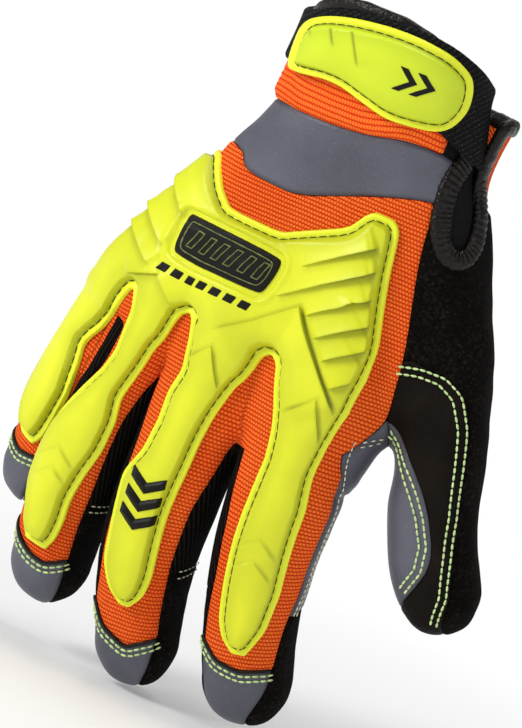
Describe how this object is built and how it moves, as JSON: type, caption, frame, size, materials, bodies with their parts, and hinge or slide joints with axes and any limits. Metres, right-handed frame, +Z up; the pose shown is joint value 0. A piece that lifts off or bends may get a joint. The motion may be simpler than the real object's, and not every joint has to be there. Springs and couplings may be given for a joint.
{
  "type": "impact work glove",
  "caption": "Right-hand impact work glove with a moulded guard over the back and fingers, leather palm, knit back, gathered cuff and hook-and-loop wrist strap.",
  "frame": {"origin": "middle of the wrist opening, where the side seams end at the cuff", "axes": "+Z up the forearm out of the opening with the fingers pointing to -Z, -Y out of the back of the hand, +X towards the thumb"},
  "size_m": [0.1584, 0.0683, 0.2234],
  "materials": {
    "lime_rubber": "satin",
    "orange_knit": "matte, finely ribbed",
    "palm_leather": "matte, suede",
    "black_knit": "matte, ribbed",
    "smooth_leather": "satin, creased",
    "black_webbing": "matte, woven",
    "black_rubber": "satin",
    "grey_cloth": "satin"
  },
  "bodies": {
    "root": {"wrist_band": "grey_cloth", "back_panel": "orange_knit", "fingertip_pinky": "grey_cloth", "fingertip_ring": "grey_cloth", "fingertip_middle": "grey_cloth", "fingertip_index": "grey_cloth", "index_side": "grey_cloth", "fourchette_1": "black_knit", "fourchette_2": "black_knit", "fourchette_3": "black_knit", "thumb_side": "grey_cloth", "thumb_back": "smooth_leather", "palm": "palm_leather", "palm_pinky": "palm_leather", "palm_ring": "palm_leather", "palm_middle": "palm_leather", "palm_index": "palm_leather", "palm_thumb": "palm_leather", "cuff_gather": "orange_knit", "cuff_palm": "orange_knit", "cuff_binding": "smooth_leather", "slit_binding": "smooth_leather", "cuff_flap": "orange_knit", "flap_binding": "smooth_leather", "strap": "black_webbing", "strap_pad": "lime_rubber", "guard": "lime_rubber", "badge": "black_rubber"}
  },
  "joints": []
}
